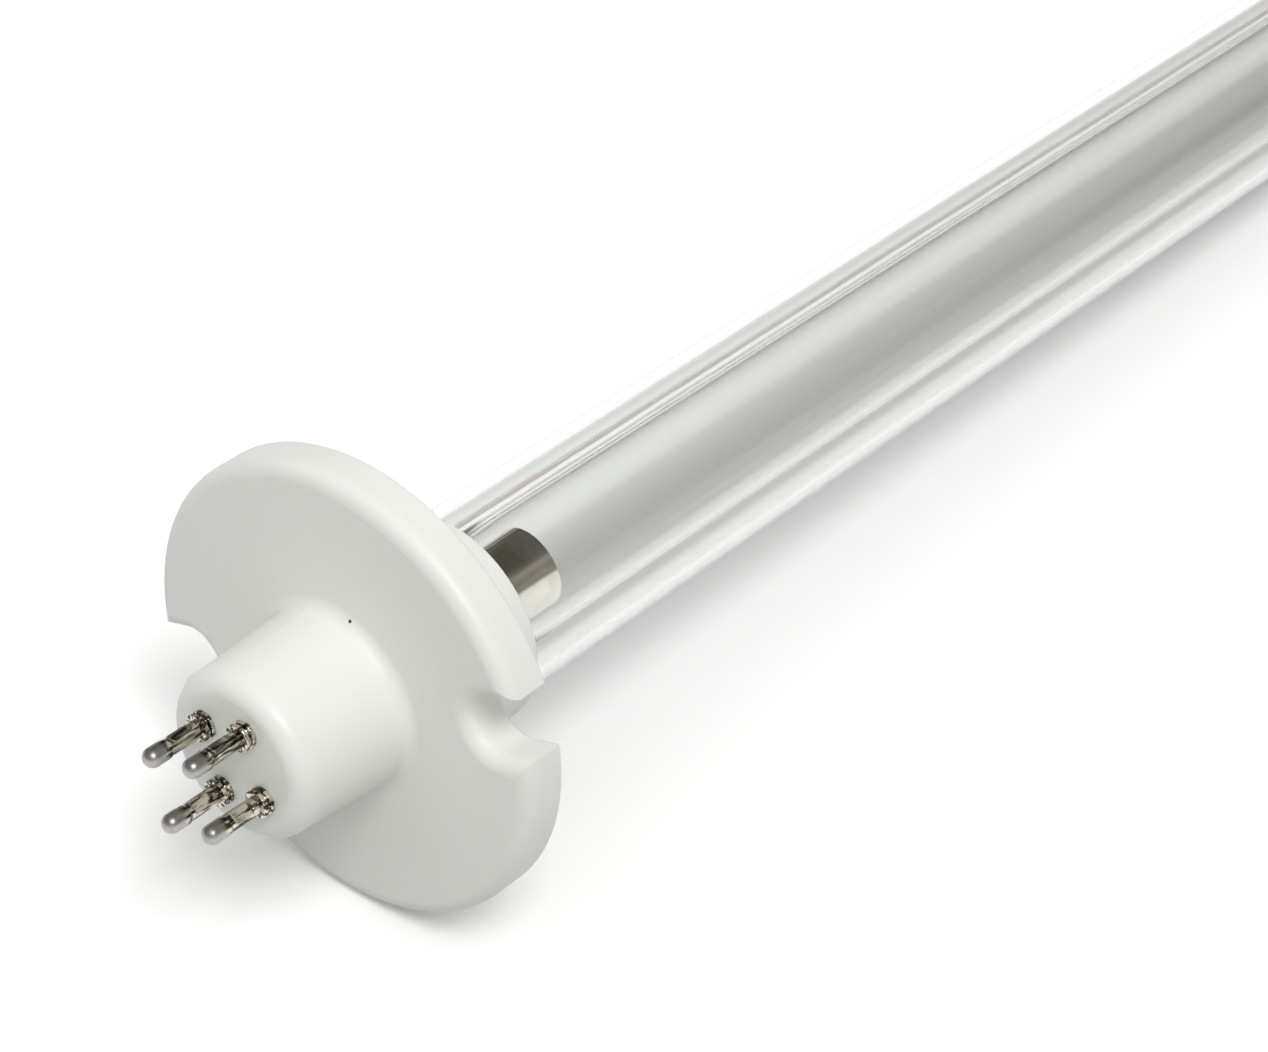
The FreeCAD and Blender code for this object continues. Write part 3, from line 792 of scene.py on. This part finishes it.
@dataclass
class Studio:
    """The pale floor, the soft light and the camera.

    The camera's place is the flange's place and the lamp's way, as the camera sees them.
    """

    frame_width: int = 1268
    focal_pixels: float = 3600.0
    sensor_width: float = 36.0
    nearest: float = 10.0 * MM
    flange_place: Triple = (-31.988 * MM, 18.081 * MM, 386.79 * MM)
    lamp_way: Triple = (0.64397, -0.42947, 0.63307)
    daylight: Span = (0.21, 0.58)
    front_light: float = 0.1
    sky_power: float = 1.46
    sky_width: float = math.radians(22.0)
    sky_way: Triple = (-0.24, -0.485, 0.84)
    ceiling: Rgba = colour(0.085, 0.08, 0.068)
    ceiling_light: Rgba = colour(0.34, 0.31, 0.285)
    ceiling_edge: Span = (-0.02, 0.14)
    patch_scale: float = 2.2
    patch_edge: Span = (0.42, 0.66)
    floor_size: float = 3.0
    floor_drop: float = 0.02 * MM
    paper: Rgba = colour(0.97, 0.97, 0.965)
    paper_cloud: Rgba = colour(0.985, 0.985, 0.98)
    paper_bounce: Rgba = colour(0.46, 0.46, 0.455)
    paper_glow: float = 0.13

    def build(self) -> None:
        """Make the floor, the world, the lights and the camera."""
        self._floor()
        self._world()
        self._skylight()
        self._camera()

    def _camera(self) -> None:
        """Set the camera where the photograph was taken from."""
        way = Vector(self.lamp_way).normalized()
        dip = -math.sin(POSE.tilt)
        swing = math.atan2(way.z, -way.y)
        pitch = math.acos(dip / math.hypot(way.y, way.z)) - swing
        up = Vector((0.0, -math.cos(pitch), -math.sin(pitch)))
        ahead = (way - dip * up).normalized()
        aside = up.cross(ahead)
        rows = Matrix((ahead, aside, up))
        flange = POSE.matrix @ Vector((0.0, 0.0, 0.0))
        camera = bpy.data.cameras.new("view")
        camera.sensor_fit = "HORIZONTAL"
        camera.sensor_width = self.sensor_width
        camera.lens = self.sensor_width * self.focal_pixels / self.frame_width
        camera.clip_start = self.nearest
        holder = bpy.data.objects.new("view", camera)
        bpy.context.scene.collection.objects.link(holder)
        turned = rows @ Matrix.Diagonal((1.0, -1.0, -1.0))
        place = flange - rows @ Vector(self.flange_place)
        holder.matrix_world = Matrix.Translation(place) @ turned.to_4x4()
        bpy.context.scene.camera = holder
        LOG.info("camera at %s, pitch %.2f", tuple(round(v, 4) for v in place), math.degrees(pitch))

    def _floor(self) -> None:
        """Make the floor, white to the camera where nothing shades it."""
        bm = bmesh.new()
        bmesh.ops.create_grid(bm, x_segments=4, y_segments=4, size=self.floor_size)
        data = bpy.data.meshes.new("floor")
        bm.to_mesh(data)
        bm.free()
        floor = bpy.data.objects.new("floor", data)
        floor.location = (0.0, 0.0, -self.floor_drop)
        bpy.context.scene.collection.objects.link(floor)
        made, bench = new_material("floor_paper")
        path = bench.node("ShaderNodeLightPath")
        seen = bench.shade(path, "Is Camera Ray").largest(bench.shade(path, "Is Glossy Ray"))
        seen = seen.largest(bench.shade(path, "Is Transmission Ray"))
        soft = bench.noise(bench.node("ShaderNodeTexCoord").outputs["Object"], 2.0, 2.0)
        paper = bench.blend(soft, self.paper, self.paper_cloud)
        surface(bench, {
            "Base Color": bench.blend(seen, self.paper_bounce, paper),
            "Roughness": 0.9,
            "Specular IOR Level": 0.0,
            "Emission Color": colour(1.0, 1.0, 1.0),
            "Emission Strength": self.paper_glow * seen,
        })
        data.materials.append(made)

    def _world(self) -> None:
        """Make the world.

        It is white to the camera, and where metal and glass mirror it, except for a dim ceiling.
        What it gives to the object and the floor is plain daylight.
        """
        world = bpy.data.worlds.new("studio")
        bpy.context.scene.world = world
        world.use_nodes = True
        bench = NodeBench(world.node_tree)
        path = bench.node("ShaderNodeLightPath")
        mirrored = bench.shade(path, "Is Glossy Ray")
        mirrored = mirrored.largest(bench.shade(path, "Is Transmission Ray"))
        mirrored = mirrored * (1.0 - bench.shade(path, "Diffuse Depth").step(0.0, 1.0))
        seen = mirrored.largest(bench.shade(path, "Is Camera Ray"))
        way = bench.node("ShaderNodeTexCoord").outputs["Generated"]
        parts = bench.node("ShaderNodeSeparateXYZ", None, {0: way})
        height = bench.shade(parts, 2)
        front = bench.shade(parts, 0).step(-1.0, 0.0, 1.0, 0.0)
        ceiling = height.step(*self.ceiling_edge) * mirrored
        patches = bench.noise(way, self.patch_scale, 2.0).step(*self.patch_edge)
        above = bench.blend(patches, self.ceiling, self.ceiling_light)
        low, rise = self.daylight
        daylight = low + rise * height.step(0.0, 1.0) + self.front_light * front
        glow = bench.node("ShaderNodeBackground", None, {
            "Color": bench.blend(ceiling, colour(1.0, 1.0, 1.0), above),
            "Strength": seen + (1.0 - seen) * daylight,
        })
        bench.node("ShaderNodeOutputWorld", None, {"Surface": glow.outputs[0]})

    def _skylight(self) -> None:
        """Hang the broad soft light above the lamp, to the right of the camera."""
        light = bpy.data.lights.new("skylight", "SUN")
        light.energy = self.sky_power
        light.angle = self.sky_width
        holder = bpy.data.objects.new("skylight", light)
        bpy.context.scene.collection.objects.link(holder)
        holder.rotation_euler = (-Vector(self.sky_way)).to_track_quat("-Z", "Y").to_euler()


def main() -> None:
    """Build the lamp's pieces in order, then the studio."""
    logging.basicConfig(level=logging.INFO, format="%(message)s")
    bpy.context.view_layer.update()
    bpy.context.scene.view_settings.view_transform = "Standard"
    for assembly in (Base(), Sleeve(), ArcTube(), Insides(), Studio()):
        assembly.build()
    bpy.context.view_layer.update()


if __name__ == "__main__":
    main()
